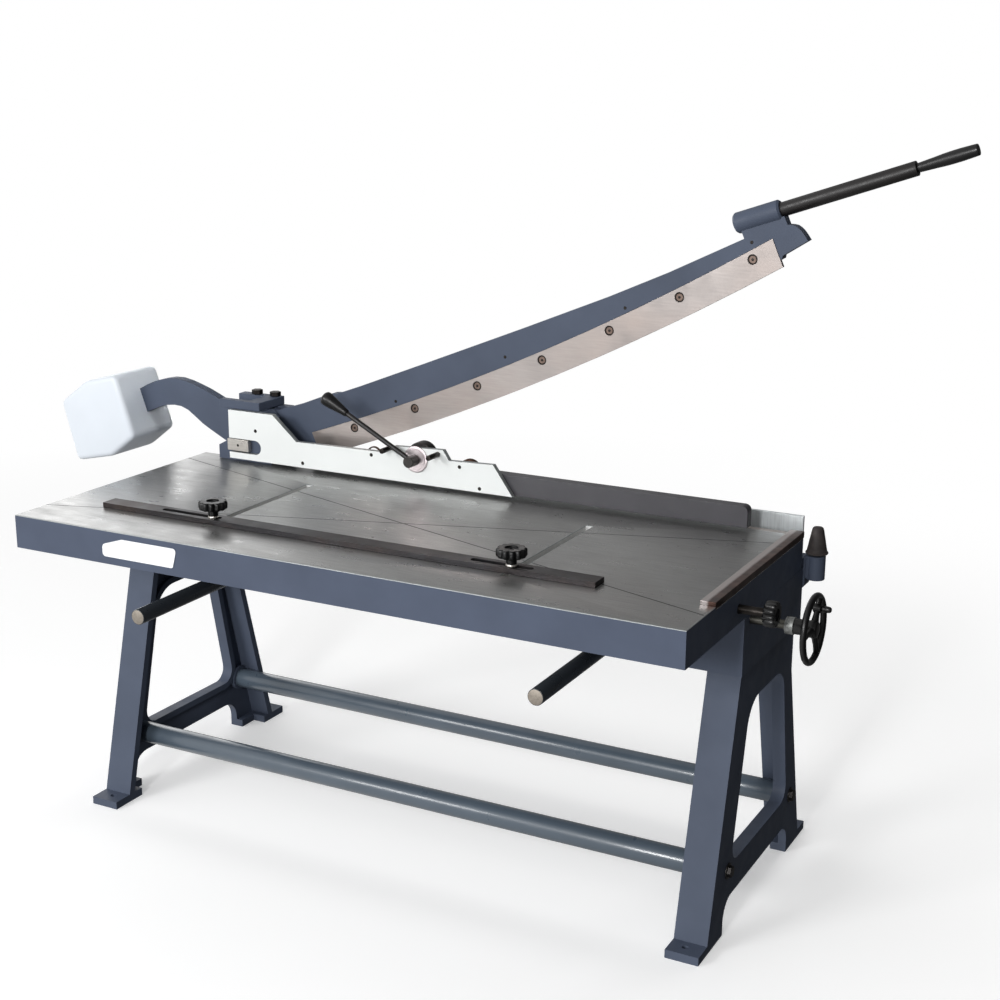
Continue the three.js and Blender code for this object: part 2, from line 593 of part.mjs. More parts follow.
// ---------- cross shaft and handwheel ----------
function handwheel() {
  add("cross_shaft", roundX(222, 1290, SHAFT_Y, SHAFT_Z, SHAFT_RADIUS), BRIGHT);
  const bore = roundX(1250, 1290 + GAP, SHAFT_Y, SHAFT_Z, SHAFT_RADIUS + GAP);
  add("dial_collar", cut(roundX(1255, 1268, SHAFT_Y, SHAFT_Z, 13.5, 24), bore), BRIGHT);
  const rim = solid(new THREE.TorusGeometry(50, 5, 8, 30).rotateY(Math.PI / 2))
    .translate([WHEEL_X, SHAFT_Y, SHAFT_Z]);
  const toCrank = Math.atan2(CRANK[1] - SHAFT_Z, CRANK[0] - SHAFT_Y);
  const spokes = [0, 1, 2].map((i) => {
    const spoke = new THREE.CylinderGeometry(4.2, 4.8, 42, 8).translate(0, 28, 0);
    spoke.rotateX(toCrank + (i * 2 * Math.PI) / 3);
    return solid(spoke).translate([WHEEL_X, SHAFT_Y, SHAFT_Z]);
  });
  const wheel = union(
    rim, roundX(1268 + GAP, 1303, SHAFT_Y, SHAFT_Z, 12, 24), roundX(1290, 1302, ...CRANK, 7, 16),
    ...spokes);
  add("handwheel", cut(wheel, bore, roundX(1288, 1304, ...CRANK, 3.4, 12)), PLASTIC);
  const grip = union(roundX(1290, 1304, ...CRANK, 3, 12), turnedX([
    [1302 + GAP, 0], [1302 + GAP, 4.2], [1309, 5], [1314.5, 4.6], [1317, 3], [1317, 0],
  ], ...CRANK, 14));
  add("handwheel_grip", grip, PLASTIC);
  const knob = union(
    plateX(lobes(KNOB_LOBES, 20, 17), 1241, 1258), roundX(1257, 1261, 0, 0, 9), roundX(1184, 1242, 0, 0, 7));
  add("gauge_lock_knob", knob.translate([0, 212, 547]), PLASTIC);
}

// ---------- stop bar on the T-slots ----------
function stopBar() {
  const slots = [[215, 335], [803, 909]].map(([x0, x1]) => {
    const slot = new THREE.Shape();
    slot.absarc(x0 + 6, STOP_Y, 6, Math.PI / 2, 1.5 * Math.PI, false);
    slot.absarc(x1 - 6, STOP_Y, 6, -Math.PI / 2, Math.PI / 2, false);
    return plateZ(slot, 570, 600);
  });
  add("stop_bar", cut(box(98, 1017, STOP_Y - 16, STOP_Y + 16, TABLE_TOP + GAP, 589), ...slots), BLACKENED);
  SLOT_X.forEach((x, i) => {
    const side = ["left", "right"][i];
    const bolt = union(
      box(x - 9.5, x + 9.5, STOP_Y - 9.5, STOP_Y + 9.5, 560.6, 567.4),
      roundZ(567, 612, x, STOP_Y, 5, 16));
    add(`t_bolt_${side}`, bolt, BRIGHT);
    const knob = union(
      roundZ(589 + GAP, 604, 0, 0, 9), plateZ(lobes(KNOB_LOBES, 24, 20.5), 603, 617));
    const recess = roundZ(614, 620, 0, 0, 11, 24);
    const bore = roundZ(580, 620, 0, 0, 5 + GAP, 16);
    add(`stop_knob_${side}`, cut(knob, recess, bore).translate([x, STOP_Y, 0]), PLASTIC);
  });
}

table();
legs();
pivotBracket();
carrierPlate();
clampBeam();
holdDown();
armCasting();
upperBlade();
handle();
counterweight();
bumper();
backGauge();
handwheel();
stopBar();

export default root;
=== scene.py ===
"""Looks for the hand guillotine shear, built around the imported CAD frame. Metres throughout."""

import json
import math

import bmesh
import bpy
from mathutils import Matrix, Vector


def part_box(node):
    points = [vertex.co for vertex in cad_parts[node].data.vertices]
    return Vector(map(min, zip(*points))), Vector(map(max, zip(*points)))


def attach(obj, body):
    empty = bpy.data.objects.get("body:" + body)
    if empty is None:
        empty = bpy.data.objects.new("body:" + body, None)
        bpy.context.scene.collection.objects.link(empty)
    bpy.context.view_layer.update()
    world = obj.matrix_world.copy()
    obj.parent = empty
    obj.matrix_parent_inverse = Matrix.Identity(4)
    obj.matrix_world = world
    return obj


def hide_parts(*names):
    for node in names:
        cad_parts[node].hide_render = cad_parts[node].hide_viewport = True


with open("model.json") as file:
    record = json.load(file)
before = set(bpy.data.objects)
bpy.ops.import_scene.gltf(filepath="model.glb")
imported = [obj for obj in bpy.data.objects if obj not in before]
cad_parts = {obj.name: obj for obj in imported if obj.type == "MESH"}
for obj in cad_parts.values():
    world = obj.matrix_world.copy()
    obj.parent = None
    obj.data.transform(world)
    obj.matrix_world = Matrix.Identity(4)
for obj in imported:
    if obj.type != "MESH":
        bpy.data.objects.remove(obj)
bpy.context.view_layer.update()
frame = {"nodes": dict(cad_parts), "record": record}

MM = 0.001
BACKDROP = 1.0        # brightness of the empty studio behind the machine
SCRIBE = 0.0012       # half the width of a scribed line
COAT_ROUGHNESS = 0.12
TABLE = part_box("table_bed")
BEHAVIOUR = frame["record"]["behaviour"]
BODY_OF = {node: body for body, members in BEHAVIOUR["bodies"].items() for node in members}
SLOT_OF = {part["node"]: part["material_slot"] for part in frame["record"]["subparts"]}
JOINTS = {joint["name"]: joint for joint in BEHAVIOUR["joints"]}

PIVOT = Vector(JOINTS["blade_arm_swing"]["pos_m"])
RAISE = math.radians(23.9)         # the arm's lift at rest
HANDLE_TILT = math.radians(-5)     # of the handle against the arm
LEVER = Vector(JOINTS["clamp_lever_turn"]["pos_m"])
LEVER_ANGLE = math.radians(151.8)  # of the lever's rod, from the table's long axis
WHEEL = Vector(JOINTS["handwheel_turn"]["pos_m"])
CRANK = Vector(JOINTS["handwheel_grip_spin"]["pos_m"])


def on_table(x, y, z):
    """A point in millimetres from the table's front left corner, and above the floor."""
    return Vector((TABLE[0].x + x * MM, TABLE[0].y + y * MM, z * MM))


def on_arm(x, z):
    """A point in millimetres along and above the arm, counted from its pivot, at rest."""
    c, s = math.cos(RAISE), math.sin(RAISE)
    along, up = c * x - s * z, s * x + c * z
    return Vector((PIVOT.x + along * MM, PIVOT.y, PIVOT.z + up * MM))


# ---------------------------------------------------------------- materials
def linear(r, g, b):
    """An 8-bit sRGB colour as linear light."""
    def channel(v):
        v /= 255
        return v / 12.92 if v <= 0.04045 else ((v + 0.055) / 1.055) ** 2.4
    return (channel(r), channel(g), channel(b), 1)


class Shader:
    """One Principled material, with helpers for object-space texture."""

    def __init__(self, name, rough, metal=0.0, coat=0.0, specular=0.5):
        self.material = bpy.data.materials.new(name)
        self.material.use_nodes = True
        self.tree = self.material.node_tree
        self.bsdf = self.tree.nodes["Principled BSDF"]
        self.set("Roughness", rough)
        self.set("Metallic", metal)
        self.set("Coat Weight", coat)
        self.set("Coat Roughness", COAT_ROUGHNESS)
        self.set("Specular IOR Level", specular)
        self.coords = self.tree.nodes.new("ShaderNodeTexCoord").outputs["Object"]

    def set(self, socket, value):
        self.bsdf.inputs[socket].default_value = value

    def link(self, output, socket):
        self.tree.links.new(output, socket)

    def noise(self, scale, detail, stretch=(1, 1, 1), roughness=0.55):
        """Noise from 0 to 1, mostly near 0.5. Scale is in features a metre."""
        mapping = self.tree.nodes.new("ShaderNodeMapping")
        mapping.inputs["Scale"].default_value = stretch
        node = self.tree.nodes.new("ShaderNodeTexNoise")
        node.inputs["Scale"].default_value = scale
        node.inputs["Detail"].default_value = detail
        node.inputs["Roughness"].default_value = roughness
        self.link(self.coords, mapping.inputs["Vector"])
        self.link(mapping.outputs["Vector"], node.inputs["Vector"])
        return node.outputs["Fac"]

    def remap(self, value, low, high, source=(0.3, 0.7)):
        """Stretches the source range, by default most of a noise, over low to high."""
        node = self.tree.nodes.new("ShaderNodeMapRange")
        node.inputs["From Min"].default_value, node.inputs["From Max"].default_value = source
        node.inputs["To Min"].default_value, node.inputs["To Max"].default_value = low, high
        self.link(value, node.inputs["Value"])
        return node.outputs["Result"]

    def mix(self, factor, a, b):
        """From a to b as the factor goes from 0 to 1. Each is a colour or an output."""
        node = self.tree.nodes.new("ShaderNodeMix")
        node.data_type = "RGBA"
        self.link(factor, node.inputs["Factor"])
        for value, socket in ((a, node.inputs["A"]), (b, node.inputs["B"])):
            if isinstance(value, tuple):
                socket.default_value = value
            else:
                self.link(value, socket)
        return node.outputs["Result"]

    def math(self, operation, a, b=0.0):
        """One step of arithmetic on one or two values, each a float or an output."""
        node = self.tree.nodes.new("ShaderNodeMath")
        node.operation = operation
        for value, socket in ((a, node.inputs[0]), (b, node.inputs[1])):
            if isinstance(value, float):
                socket.default_value = value
            else:
                self.link(value, socket)
        return node.outputs["Value"]

    def colour(self, output):
        self.link(output, self.bsdf.inputs["Base Color"])

    def rough(self, output):
        self.link(output, self.bsdf.inputs["Roughness"])

    def bump(self, height, strength, distance):
        """Relief in the shading only, the distance in metres."""
        node = self.tree.nodes.new("ShaderNodeBump")
        node.inputs["Strength"].default_value = strength
        node.inputs["Distance"].default_value = distance
        self.link(height, node.inputs["Height"])
        self.link(node.outputs["Normal"], self.bsdf.inputs["Normal"])

    def line(self, start, end, width):
        """1 within width of a straight line across the XY plane, else 0."""
        along = Vector((end.x - start.x, end.y - start.y)).normalized()
        dot = self.tree.nodes.new("ShaderNodeVectorMath")
        dot.operation = "DOT_PRODUCT"
        dot.inputs[1].default_value = (-along.y, along.x, 0)
        self.link(self.coords, dot.inputs[0])
        offset = -along.y * start.x + along.x * start.y
        away = self.math("ABSOLUTE", self.math("SUBTRACT", dot.outputs["Value"], offset))
        return self.math("LESS_THAN", away, width)


def shade(colour, factor):
    """A colour made lighter or darker."""
    return tuple(c * factor for c in colour[:3]) + (1,)


def paint(name, colour, rough, coat=0.12, casting=0.0, vary=0.1, shine=0.5):
    """Sprayed paint: slight mottling, orange peel, and the grain of a casting under it."""
    s = Shader(name, rough, coat=coat, specular=shine)
    mottling = s.remap(s.noise(9, 5), 0, 1)
    s.colour(s.mix(mottling, shade(colour, 1 - vary), shade(colour, 1 + vary)))
    s.rough(s.remap(s.noise(30, 4), rough - 0.06, rough + 0.09))
    peel = s.math("MULTIPLY", s.noise(420, 2), 0.35)
    grain = s.math("MULTIPLY", s.noise(95, 4), casting)
    s.bump(s.math("ADD", peel, grain), 0.25, 0.0006)
    return s.material


def steel(name, colour, rough, stretch, contrast=0.14, stain=0.0, metal=1.0):
    """Bare steel with marks of grinding or drawing along one direction."""
    s = Shader(name, rough, metal=metal)
    marks = s.noise(6, 6, stretch, 0.65)
    base = s.mix(s.remap(marks, 0, 1), shade(colour, 1 - contrast), shade(colour, 1 + contrast))
    if stain:
        cloud = s.remap(s.noise(7, 5), 0, stain, (0.45, 0.8))
        base = s.mix(cloud, base, shade(linear(150, 122, 104), 0.8))
    s.colour(base)
    s.rough(s.remap(s.noise(14, 5), rough - 0.07, rough + 0.12))
    s.bump(marks, 0.12, 0.0003)
    return s.material


def table_steel():
    """The ground table top: fine grain, cloudy wear, and two layout lines scribed across it."""
    s = Shader("table_ground", 0.33, metal=0.8)
    marks = s.noise(5, 6, (2.5, 90, 1), 0.65)
    grain = s.noise(700, 3)
    base = s.mix(s.remap(marks, 0, 1), linear(146, 146, 145), linear(184, 184, 183))
    clouds = s.remap(s.noise(1.6, 3), 0, 0.5, (0.35, 0.75))
    base = s.mix(clouds, base, linear(138, 138, 137))
    base = s.mix(s.remap(grain, 0, 0.5), base, linear(104, 104, 103))
    across = s.line(on_table(0, 459, 0), on_table(1200, 70, 0), SCRIBE)
    back = s.line(on_table(0, 73, 0), on_table(1200, 461, 0), SCRIBE)
    scribed = s.math("MAXIMUM", across, back)
    s.colour(s.mix(scribed, base, linear(58, 58, 60)))
    polish = s.remap(s.noise(16, 6, (1, 2.5, 1), 0.7), 0.24, 0.42)
    s.rough(s.math("MAXIMUM", polish, s.math("MULTIPLY", scribed, 0.6)))
    s.bump(s.math("ADD", marks, grain), 0.22, 0.0003)
    return s.material


def guide_strip():
    """The table's edge strip: bright along its inner side, dark rust brown along its outer side face,
    partly rust and partly painted shade.
    """
    s = Shader("guide_strip", 0.34, metal=0.85)
    split = s.tree.nodes.new("ShaderNodeSeparateXYZ")
    s.link(s.coords, split.inputs["Vector"])
    wavy = s.math("ADD", split.outputs["X"], s.math("MULTIPLY", s.noise(30, 4), 0.003))
    # Outside this line, over the strip's outer side face, the colour is a dark rust brown: partly
    # rust, partly painted shade.
    seam = on_table(1188.5, 0, 0).x
    browned = s.remap(wavy, 0, 1, (seam - 0.002, seam + 0.002))
    rust_and_painted_shade = s.mix(s.remap(s.noise(55, 5), 0, 1), linear(52, 38, 34), linear(98, 74, 66))
    s.colour(s.mix(browned, linear(186, 178, 176), rust_and_painted_shade))
    s.rough(s.remap(s.noise(20, 4), 0.28, 0.5))
    s.bump(s.noise(180, 4), 0.15, 0.0003)
    return s.material


def moulded(name, colour, rough, coat=0.0, shine=0.5):
    """Smooth black plastic or blacking, with faint flow marks and fingerprints."""
    s = Shader(name, rough, coat=coat, specular=shine)
    marks = s.remap(s.noise(22, 4), 0, 1)
    s.colour(s.mix(marks, shade(colour, 0.75), shade(colour, 1.5)))
    s.rough(s.remap(s.noise(60, 5), rough - 0.05, rough + 0.12))
    s.bump(s.noise(240, 3), 0.04, 0.0003)
    return s.material


def rubber_material():
    """Dull dark rubber with a fine rough skin."""
    s = Shader("rubber", 0.75)
    s.colour(s.mix(s.remap(s.noise(80, 5), 0, 1), linear(40, 35, 35), linear(62, 55, 53)))
    s.rough(s.remap(s.noise(45, 4), 0.62, 0.85))
    s.bump(s.noise(500, 4), 0.4, 0.0005)
    return s.material


MATERIAL = {
    "paint": paint("blue_grey_paint", linear(74, 82, 98), 0.5, coat=0.0, casting=0.7, shine=0.2),
    "rod_paint": paint("tie_rod_paint", linear(76, 87, 98), 0.33, coat=0.35),
    "apron": paint("apron_paint", linear(74, 82, 99), 0.5, coat=0.0, casting=0.3, shine=0.2),
    "table": table_steel(),
    "bright_steel": steel("bright_steel", linear(200, 196, 190), 0.26, (3, 80, 80), metal=0.75),
    "blade": steel("blade_steel", linear(172, 165, 162), 0.36, (4, 4, 60), 0.08, stain=0.3),
    "rod": steel("drawn_rod", linear(128, 126, 124), 0.28, (60, 3, 60)),
    "shaft": steel("shaft_steel", linear(88, 87, 82), 0.34, (3, 60, 60)),
    "collar": steel("collar_steel", linear(138, 140, 138), 0.44, (30, 30, 30), 0.35, metal=0.7),
    "rod_end": steel("sawn_rod_end", linear(160, 152, 142), 0.45, (40, 40, 40), 0.2),
    "dark_rod": paint("oiled_dark_rod", linear(46, 50, 54), 0.28, coat=0.4),
    "edge": steel("machined_edge", linear(150, 154, 154), 0.4, (80, 80, 6), metal=0.35),
    # The T-slots' inner faces: a pale, nearly non-metallic colour, which is painted light that lifts
    # the shade inside the recess.
    "slot": steel("slot_painted_light", linear(205, 205, 204), 0.6, (3, 60, 60), 0.1, metal=0.1),
    "guide": guide_strip(),
    "plate": steel("gauge_plate_steel", linear(206, 211, 213), 0.36, (60, 4, 4), 0.12, metal=0.5),
    "black_steel": steel("blackened_steel", linear(50, 47, 45), 0.42, (20, 20, 20), 0.3),
    "bar_steel": steel("stop_bar_steel", linear(58, 57, 59), 0.4, (3, 60, 60), 0.25, stain=0.2),
    "bolt_centre": steel("bolt_centre", linear(116, 100, 92), 0.42, (30, 30, 30), 0.3),
    "spring_steel": steel("spring_steel", linear(78, 58, 48), 0.36, (30, 30, 30), 0.3),
    "dark_hub": steel("dark_hub", linear(66, 64, 63), 0.4, (30, 30, 30), 0.2),
    "disc": steel("turned_disc", linear(214, 204, 206), 0.36, (50, 50, 50), 0.05),
    "white_paint": paint("white_plate", linear(226, 229, 228), 0.42, coat=0.1, vary=0.02),
    "weight_paint": paint("weight_paint", linear(212, 218, 225), 0.46, casting=0.4, vary=0.03),
    "beam_paint": paint("beam_paint", linear(60, 59, 64), 0.5, casting=0.2),
    "black_gloss_steel": moulded("gloss_black_bar", linear(17, 14, 14), 0.4),
    "black_plastic": moulded("gloss_black_plastic", linear(8, 8, 9), 0.32, coat=0.06, shine=0.4),
    "rubber": rubber_material(),
    "label": paint("label", linear(236, 238, 240), 0.35, coat=0.3),
    "engraved": moulded("engraved_mark", linear(24, 24, 24), 0.5),
}


# ---------------------------------------------------------------- mesh helpers
X, Y, Z = Vector((1, 0, 0)), Vector((0, 1, 0)), Vector((0, 0, 1))
FORWARD = Vector((0, -1, 0))

WELD = 1e-5                         # metres between points that are one point
FLAT = math.radians(0.6)            # between faces that are one flat face
BEVEL_FROM = math.radians(40)       # edges sharper than this are broken
THINNEST = 0.05                     # millimetres, the smallest radius of a turned form


def finish_mesh(name, bm, materials, body, slot, replaces=(), sharp=35, bevel=0.0, segments=2):
    """Makes a piece and rides it on its body. Sharp is in degrees, bevel in millimetres."""
    bmesh.ops.recalc_face_normals(bm, faces=bm.faces)
    mesh = bpy.data.meshes.new(name)
    bm.to_mesh(mesh)
    bm.free()
    for material in materials:
        mesh.materials.append(MATERIAL[material])
    mesh.polygons.foreach_set("use_smooth", [True] * len(mesh.polygons))
    mesh.set_sharp_from_angle(angle=math.radians(sharp))
    piece = bpy.data.objects.new(name, mesh)
    bpy.context.scene.collection.objects.link(piece)
    if bevel:
        modifier = piece.modifiers.new("edges", "BEVEL")
        modifier.width = bevel * MM
        modifier.segments = segments
        modifier.limit_method = "ANGLE"
        modifier.angle_limit = BEVEL_FROM
        modifier.harden_normals = True
    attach(piece, body)
    if replaces:
        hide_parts(*replaces)


def stand_in(node, bm, materials, **finish):
    """Finishes a mesh that takes the place of one CAD node, on its body."""
    finish_mesh("fine_" + node, bm, materials, BODY_OF[node], SLOT_OF[node], [node], **finish)


def from_node(node):
    """A clean copy of a CAD node's mesh: welded, with its flat faces in one piece."""
    bm = bmesh.new()
    bm.from_mesh(frame["nodes"][node].data)
    bmesh.ops.remove_doubles(bm, verts=bm.verts, dist=WELD)
    bmesh.ops.dissolve_limit(bm, angle_limit=FLAT, verts=bm.verts, edges=bm.edges)
    return bm


def refine(node, materials, bevel, choose=None, segments=2):
    """Stands for a CAD node with the same shape, its edges broken and its finish given."""
    bm = from_node(node)
    for face in bm.faces:
        face.material_index = choose(face) if choose else 0
    stand_in(node, bm, materials, bevel=bevel, segments=segments)


def middle(node):
    """The middle of a CAD node's box."""
    low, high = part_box(node)
    return (low + high) / 2


def circle(count):
    """Equal angles once round."""
    return [2 * math.pi * i / count for i in range(count)]


def frame_along(axis):
    """Two unit vectors across an axis."""
    axis = axis.normalized()
    side = axis.cross(Z)
    if side.length < 0.1:
        side = axis.cross(Y)
    side.normalize()
    return side, axis.cross(side).normalized()


def loft(bm, rings, material=0):
    """Joins rings of equal length into a closed skin, with flat ends."""
    made = [[bm.verts.new(p) for p in ring] for ring in rings]
    count = len(made[0])
    faces = [bm.faces.new(made[0]), bm.faces.new(reversed(made[-1]))]
    for lower, upper in zip(made, made[1:]):
        for i in range(count):
            j = (i + 1) % count
            faces.append(bm.faces.new((lower[i], lower[j], upper[j], upper[i])))
    for face in faces:
        face.material_index = material
    return faces


def turn(bm, origin, axis, profile, sides, material=0):
    """A turned form: profile is (millimetres along the axis, radius in millimetres)."""
    axis = axis.normalized()
    u, v = frame_along(axis)
    angles = circle(sides)
    rings = []
    for at, radius in profile:
        centre, reach = origin + axis * (at * MM), max(radius, THINNEST) * MM
        rings.append([centre + (u * math.cos(a) + v * math.sin(a)) * reach for a in angles])
    return loft(bm, rings, material)


def torus(bm, centre, axis, major, minor, around, across):
    """A ring of round section, its two radii in millimetres."""
    u, v = frame_along(axis)
    axis = axis.normalized()
    rings = []
    for a in circle(around):
        out = u * math.cos(a) + v * math.sin(a)
        rings.append([bm.verts.new(centre + out * ((major + minor * math.cos(b)) * MM)
                                   + axis * (minor * math.sin(b) * MM))
                      for b in circle(across)])
    for i in range(around):
        here, there = rings[i], rings[(i + 1) % around]
        for k in range(across):
            n = (k + 1) % across
            bm.faces.new((here[k], there[k], there[n], here[n]))


def rounded_bar(low, high, radius, fillet):
    """A turned profile for a plain bar with softened ends."""
    step, shoulder = fillet * 0.3, radius - fillet * 0.3
    return [(low, radius - fillet), (low + step, shoulder), (low + fillet, radius),
            (high - fillet, radius), (high - step, shoulder), (high, radius - fillet)]


def full_bar(bm, node, axis, radius, fillet, sides):
    """A plain turned bar from end to end of a CAD node's box, along X or Y."""
    low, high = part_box(node)
    length = (high - low).dot(axis)
    start = middle(node) - axis * (length / 2)
    return turn(bm, start, axis, rounded_bar(0, length / MM, radius, fillet), sides)


def socket_screw(name, place, axis, body, radius=3.4):
    """A socket screw head standing just proud, with its hexagon sunk in."""
    bm = bmesh.new()
    head = [(0, radius), (1.6, radius), (1.9, radius - 0.3)]
    turn(bm, place - axis * (1.5 * MM), axis, head, 24)
    turn(bm, place, axis, [(0.35, radius * 0.5), (0.45, radius * 0.5)], 6)
    finish_mesh(name, bm, ["black_steel"], body, "black_steel")


# ---------------------------------------------------------------- table, legs, bracket
TABLE_LOOKS = ["apron", "table", "edge", "slot"]
SLOT_DEPTH = 0.026  # how far under the top a face can belong to a T-slot
RIM = 0.002         # how far inside the table's outline it then lies
CORNER = 1.2        # radians between the two faces at a corner


def table_look(face):
    """The look of one face of the table: its ground top, the inside of a T-slot, or paint."""
    low, high = TABLE
    at = face.calc_center_median()
    if at.z > high.z - 0.0002 and face.normal.z > 0.9:
        return "table"
    within = all(low[i] + RIM < at[i] < high[i] - RIM for i in (0, 1))
    # Faces inside a T-slot get the pale slot colour, which paints light into the shade of the recess.
    if within and at.z > high.z - SLOT_DEPTH and face.normal.z > -0.9:
        return "slot"
    return "apron"


def table():
    """The table bed, with a thin line of machined edge round its top and its slots."""
    bm = from_node("table_bed")
    for face in bm.faces:
        face.material_index = TABLE_LOOKS.index(table_look(face))
    level = TABLE[1].z - 0.0001
    rim = [e for e in bm.edges if all(v.co.z > level for v in e.verts)
           and e.is_manifold and e.calc_face_angle(0) > CORNER]
    made = bmesh.ops.bevel(
        bm, geom=rim, offset=0.0014, segments=2, profile=0.5, affect="EDGES", clamp_overlap=True)
    for face in made["faces"]:
        face.material_index = TABLE_LOOKS.index("edge")
    stand_in("table_bed", bm, TABLE_LOOKS, bevel=0.8)


def leg_bolts():
    """A washer and a hexagon head outside each leg, where the tie rods are held."""
    for side, x, axis in (("left", 10, -X), ("right", 1190, X)):
        for place, y in (("front", 246), ("rear", 553)):
            at = on_table(x, y, 105)
            bm = bmesh.new()
            turn(bm, at, axis, rounded_bar(-1, 2, 13, 0.5), 32)
            turn(bm, at, axis, [(1.5, 9.5), (7.2, 9.5), (8.4, 8.4)], 6)
            finish_mesh(f"tie_bolt_{place}_{side}", bm, ["dark_hub"], "base", "black_steel")


def castings():
    """The table, everything cast and painted, and the steel parts bolted to it."""
    table()
    refine("name_plate", ["label"], 0.25)
    for node, bevel in (
            ("leg_frame_left", 2.4), ("leg_frame_right", 2.4), ("pivot_bracket", 1.8),
            ("pivot_cap", 1.6), ("bumper_bracket", 1.6), ("gauge_guide_left", 1.5),
            ("gauge_guide_right", 1.5)):
        refine(node, ["paint"], bevel, segments=3)
    for node in ("tie_rod_front", "tie_rod_rear"):
        bm = bmesh.new()
        full_bar(bm, node, X, 19, 1.2, 56)
        stand_in(node, bm, ["rod_paint"])
    leg_bolts()
    refine("side_guide", ["guide"], 0.8)
    refine("lower_blade", ["blade"], 0.3)
    refine("pivot_pin", ["bright_steel"], 0.5)
    for node in ("cap_bolt_left", "cap_bolt_right", "pivot_nut"):
        refine(node, ["black_steel"], 0.9)


# ---------------------------------------------------------------- hold-down
# Places along the table and above the floor, in millimetres.
PLATE_SCREWS = ((145.5, 644), (250.6, 594.6), (401, 628), (583.4, 627.3), (623.5, 592.8))
SPRINGS = {"left": (1.3, 2), "right": (1.8, 3)}  # radius of the wire, and turns


def carrier_plate():
    """The white plate with its machined edges, its screws and its block, and the beam behind."""
    refine("carrier_plate", ["edge", "white_paint"], 0.9,
           lambda face: 1 if face.normal.y < -0.9 else 0)
    refine("locating_block", ["bright_steel"], 0.7)
    refine("clamp_beam", ["beam_paint"], 1.0)
    for x, z in PLATE_SCREWS:
        socket_screw(f"plate_screw_{round(x)}", on_table(x, 480, z), FORWARD, "base")
    socket_screw("block_screw", on_table(104, 479.5, 612), FORWARD, "base", 2.6)


def lever_bearing():
    """The turned disc behind the lever, with a groove near its rim."""
    node = "lever_bearing_disc"
    disc = bmesh.new()
    turn(disc, Vector((LEVER.x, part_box(node)[0].y, LEVER.z)), Y, [
        (0.5, 12), (0.5, 16.5), (0, 16.8), (0, 19.2), (0.9, 19.6), (0.9, 22.6), (1.3, 23.6),
        (2, 24), (3.4, 24)], 72)
    stand_in(node, disc, ["disc"], sharp=25)


def pins_and_springs():
    """The lever's two stop pins, and the two pins with the coils that lift the beam."""
    for side, (wire, turns) in SPRINGS.items():
        node = "stop_pin_" + side
        pin = bmesh.new()
        full_bar(pin, node, Y, 4.8, 0.6, 32)
        stand_in(node, pin, ["black_steel"])
        refine("spring_pin_" + side, ["black_steel"], 0.5)
        node = "clamp_spring_" + side
        low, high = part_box(node)
        centre, reach = middle(node), (high.x - low.x) / 2 / MM - wire
        coil = bmesh.new()
        for i in range(turns):
            at = Vector((centre.x, low.y + (wire + 2 * wire * i) * MM, centre.z))
            torus(coil, at, Y, reach, wire, 56, 12)
        stand_in(node, coil, ["spring_steel"])


def clamp_lever():
    """The lever's shaft, its rod, and its long tapered grip."""
    refine("lever_shaft", ["dark_hub"], 0.8)
    centre = Vector((LEVER.x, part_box("lever_rod")[0].y + 4.5 * MM, LEVER.z))
    out = Vector((math.cos(LEVER_ANGLE), 0, math.sin(LEVER_ANGLE)))
    rod = bmesh.new()
    turn(rod, centre, out, rounded_bar(10.3, 200, 4.5, 0.5), 40)
    stand_in("lever_rod", rod, ["black_gloss_steel"])
    grip = bmesh.new()
    turn(grip, centre, out, [
        (152, 4.6), (152.2, 5.8), (153.4, 6.5), (162, 7.6), (175, 9.5), (188, 11.6), (196, 12.7),
        (201, 13), (204.6, 12.2), (207.2, 9.8), (208.6, 6), (209, 2)], 56)
    stand_in("lever_grip", grip, ["black_plastic"])


# ---------------------------------------------------------------- blade arm
# Places along and above the arm, from its pivot, in millimetres.
WEIGHT_CORNERS = ((-440, 84), (-423, 205), (-345, 222), (-267, 208), (-277, 82), (-349, 65))
HANDLE_FOOT = (1008, 25.6)
# Places along the table and above the floor, in millimetres.
ARM_SCREWS = ((1085.7, 1042.9), (871.6, 923.2), (648.1, 821.5), (425.4, 720.6))


def counterweight():
    """A cast block with generously rounded edges, over the end of the arm's tail."""
    outline = [on_arm(x, z) for x, z in WEIGHT_CORNERS]
    bm = bmesh.new()
    loft(bm, [[Vector((p.x, end.y, p.z)) for p in outline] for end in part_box("counterweight")])
    bmesh.ops.bevel(bm, geom=bm.edges[:], offset=0.011, segments=5, profile=0.55, affect="EDGES")
    stand_in("counterweight", bm, ["weight_paint"])


def blade_bolt(node):
    """A flush bolt in the blade: a dark ring, a browned centre and a hexagon socket."""
    at = middle(node)
    at.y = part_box(node)[0].y
    bm = bmesh.new()
    turn(bm, at, FORWARD, [(-7.5, 8.2), (-0.2, 8.2), (0, 8), (0, 6.4), (-1.1, 6.2)], 40)
    turn(bm, at, FORWARD, [(-5, 6.2), (-0.8, 6.2), (-0.5, 5.8)], 32, material=1)
    turn(bm, at, FORWARD, [(-5, 2.6), (-0.45, 2.6), (-0.4, 2.4)], 6)
    stand_in(node, bm, ["black_steel", "bolt_centre"])


def handle():
    """The bar in the arm's socket and the waisted grip at its end."""
    start = on_arm(*HANDLE_FOOT)
    slope = RAISE + HANDLE_TILT
    out = Vector((math.cos(slope), 0, math.sin(slope)))
    bar = bmesh.new()
    turn(bar, start, out, rounded_bar(24.3, 291, 11.6, 0.7), 48)
    stand_in("handle_bar", bar, ["black_gloss_steel"])
    grip = bmesh.new()
    turn(grip, start, out, [
        (291.3, 6), (291.6, 6.9), (293, 7.3), (304, 7.9), (318, 8.6), (332, 9.5), (344, 9.9),
        (358, 9.9), (370, 9.5), (381, 9), (383, 8.8), (383.8, 8.2), (384, 7)], 56)
    stand_in("handle_grip", grip, ["black_plastic"])


